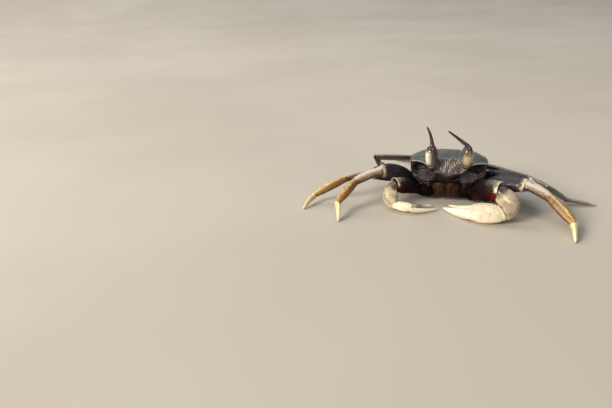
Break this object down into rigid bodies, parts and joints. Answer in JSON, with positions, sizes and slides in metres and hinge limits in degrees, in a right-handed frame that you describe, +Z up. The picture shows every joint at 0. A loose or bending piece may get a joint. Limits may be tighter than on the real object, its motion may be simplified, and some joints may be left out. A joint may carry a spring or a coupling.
{
  "type": "horned ghost crab model",
  "caption": "Life-size still model of a horned ghost crab resting on its legs and claws, with raised horned eyes and unequal claws.",
  "frame": {"origin": "bottom centre of the whole crab's box, on the floor it stands on", "axes": "+Z up, +X towards the crab's left side, and the crab faces -Y"},
  "size_m": [0.1702, 0.1166, 0.0469],
  "materials": {
    "carapace": "smooth blue-grey shell with a wet sheen, granular at the front and edges",
    "underbody": "brown-grey underside shell",
    "mouthpart": "brown, striped, lightly haired",
    "stalk": "dark brown, smooth",
    "cornea": "cream eye surface, shiny",
    "horn": "dark brown, paler towards the root",
    "merus": "dark blue-black with a cream rim at the far end",
    "carpus": "pinkish grey with pale granules",
    "propodus": "golden brown with cross bands and hair tufts",
    "dactyl": "pale yellow, fluted",
    "claw": "cream with rows of granules",
    "claw_arm": "dark maroon and grey with a cream rim"
  },
  "bodies": {
    "root": {"carapace": "carapace", "underbody": "underbody", "abdomen": "underbody", "mouthpart_right": "mouthpart", "antenna_right": "mouthpart", "eyestalk_right": "stalk", "cornea_right": "cornea", "horn_right": "horn", "mouthpart_left": "mouthpart", "antenna_left": "mouthpart", "eyestalk_left": "stalk", "cornea_left": "cornea", "horn_left": "horn", "leg_2_right_merus": "merus", "leg_2_right_carpus": "carpus", "leg_2_right_propodus": "propodus", "leg_2_right_dactyl": "dactyl", "leg_2_left_merus": "merus", "leg_2_left_carpus": "carpus", "leg_2_left_propodus": "propodus", "leg_2_left_dactyl": "dactyl", "leg_3_right_merus": "merus", "leg_3_right_carpus": "carpus", "leg_3_right_propodus": "propodus", "leg_3_right_dactyl": "dactyl", "leg_3_left_merus": "merus", "leg_3_left_carpus": "carpus", "leg_3_left_propodus": "propodus", "leg_3_left_dactyl": "dactyl", "leg_4_right_merus": "merus", "leg_4_right_carpus": "carpus", "leg_4_right_propodus": "propodus", "leg_4_right_dactyl": "dactyl", "leg_4_left_merus": "merus", "leg_4_left_carpus": "carpus", "leg_4_left_propodus": "propodus", "leg_4_left_dactyl": "dactyl", "leg_5_right_merus": "merus", "leg_5_right_carpus": "carpus", "leg_5_right_propodus": "propodus", "leg_5_right_dactyl": "dactyl", "leg_5_left_merus": "merus", "leg_5_left_carpus": "carpus", "leg_5_left_propodus": "propodus", "leg_5_left_dactyl": "dactyl", "claw_major_merus": "claw_arm", "claw_major_carpus": "claw", "claw_major_palm": "claw", "claw_major_finger": "claw", "claw_minor_merus": "claw_arm", "claw_minor_carpus": "claw", "claw_minor_palm": "claw", "claw_minor_finger": "claw"}
  },
  "joints": []
}
